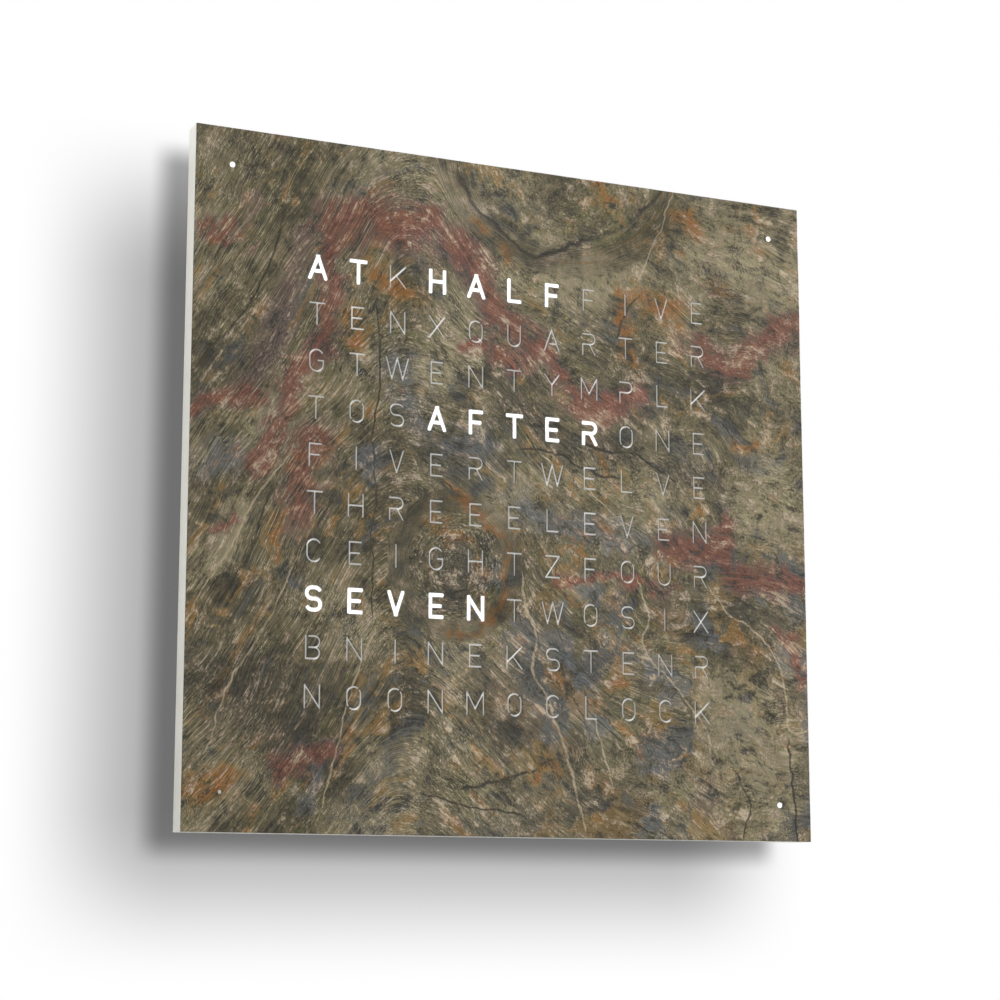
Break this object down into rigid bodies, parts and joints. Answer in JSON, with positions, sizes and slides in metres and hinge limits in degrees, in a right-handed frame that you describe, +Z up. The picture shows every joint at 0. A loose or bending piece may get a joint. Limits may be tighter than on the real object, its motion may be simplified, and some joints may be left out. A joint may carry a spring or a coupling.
{
  "type": "word clock",
  "caption": "Thin square wall clock with a cleft stone front, letters and corner dots cut through it and lit from behind, held by magnets on an off-white housing.",
  "frame": {"origin": "centre of the flat back, on the wall that the clock hangs on", "axes": "+X to the right as a reader sees the clock, +Y into the wall, +Z up"},
  "size_m": [0.9008, 0.031, 0.9],
  "materials": {
    "stone": "cleft natural slate, matt, olive to red-brown with veins",
    "opal": "opal translucent sheet, satin",
    "housing": "fibreboard with off-white lacquer, satin",
    "panel": "hardboard with off-white lacquer, matt",
    "steel": "zinc-plated steel",
    "magnet": "nickel-plated magnet",
    "bush": "turned brass",
    "baffle": "white moulded foam board, matt",
    "spacer": "natural nylon",
    "board": "white solder mask on glass-fibre laminate",
    "control_board": "green solder mask on glass-fibre laminate",
    "led": "white lamp package with a yellow phosphor",
    "connector": "natural nylon connector",
    "lead": "black sheathed lead, matt",
    "chip": "black moulded package",
    "can": "bare metal can",
    "ferrite": "sintered ferrite, dark grey",
    "winding": "enamelled copper wire",
    "black_plastic": "black moulded plastic",
    "cap": "off-white moulded plastic, satin",
    "window": "smoked clear plastic"
  },
  "bodies": {
    "housing": {"body_frame": "housing", "holding_magnets": "magnet", "pin_bushes": "bush", "back_panel": "panel", "hanging_plates": "steel", "hanging_plate_screws": "steel", "panel_screws": "steel", "diffuser_sheet": "opal", "light_baffle": "baffle", "baffle_posts": "spacer", "baffle_screws": "steel", "row_led_boards": "board", "letter_leds": "led", "led_connectors": "connector", "row_jumper_leads": "lead", "minute_light_tubes": "baffle", "minute_led_boards": "board", "minute_leds": "led", "minute_leads": "lead", "board_spacers": "spacer", "board_screws": "steel", "control_board": "control_board", "microcontroller_chip": "chip", "clock_crystal": "can", "led_driver_chips": "chip", "power_regulator": "chip", "radio_receiver": "can", "board_connectors": "connector", "reservoir_capacitors": "can", "cell_holder": "black_plastic", "backup_cell": "steel", "antenna_rod": "ferrite", "antenna_coil": "winding", "antenna_clips": "black_plastic", "antenna_lead": "lead", "inlet_cup": "black_plastic", "dc_jack_body": "black_plastic", "dc_jack_pin": "steel", "inlet_lead": "lead", "led_data_lead": "lead", "button_board": "control_board", "button_switches": "black_plastic", "button_board_spacers": "spacer", "button_board_screws": "steel", "light_sensor": "chip", "sensor_window": "window", "button_lead": "lead", "button_spring_1": "steel", "button_spring_2": "steel", "button_spring_3": "steel", "button_spring_4": "steel"},
    "front_cover": {"stone_front": "stone", "cover_carrier": "opal", "strike_plates": "steel", "locating_pins": "steel"},
    "button_1": {"button_cap_1": "cap"},
    "button_2": {"button_cap_2": "cap"},
    "button_3": {"button_cap_3": "cap"},
    "button_4": {"button_cap_4": "cap"}
  },
  "joints": [
    {"name": "cover_pull_off", "type": "slide", "parent": "housing", "child": "front_cover", "axis": [0, -1, 0], "range_m": [0, 0.06]},
    {"name": "button_1_press", "type": "slide", "parent": "housing", "child": "button_1", "axis": [-1, 0, 0], "range_m": [0, 0.0012], "stiffness_N_per_m": 1250, "springref_m": -0.0005, "deforming": ["button_spring_1"]},
    {"name": "button_2_press", "type": "slide", "parent": "housing", "child": "button_2", "axis": [-1, 0, 0], "range_m": [0, 0.0012], "stiffness_N_per_m": 1250, "springref_m": -0.0005, "deforming": ["button_spring_2"]},
    {"name": "button_3_press", "type": "slide", "parent": "housing", "child": "button_3", "axis": [-1, 0, 0], "range_m": [0, 0.0012], "stiffness_N_per_m": 1250, "springref_m": -0.0005, "deforming": ["button_spring_3"]},
    {"name": "button_4_press", "type": "slide", "parent": "housing", "child": "button_4", "axis": [-1, 0, 0], "range_m": [0, 0.0012], "stiffness_N_per_m": 1250, "springref_m": -0.0005, "deforming": ["button_spring_4"]}
  ]
}
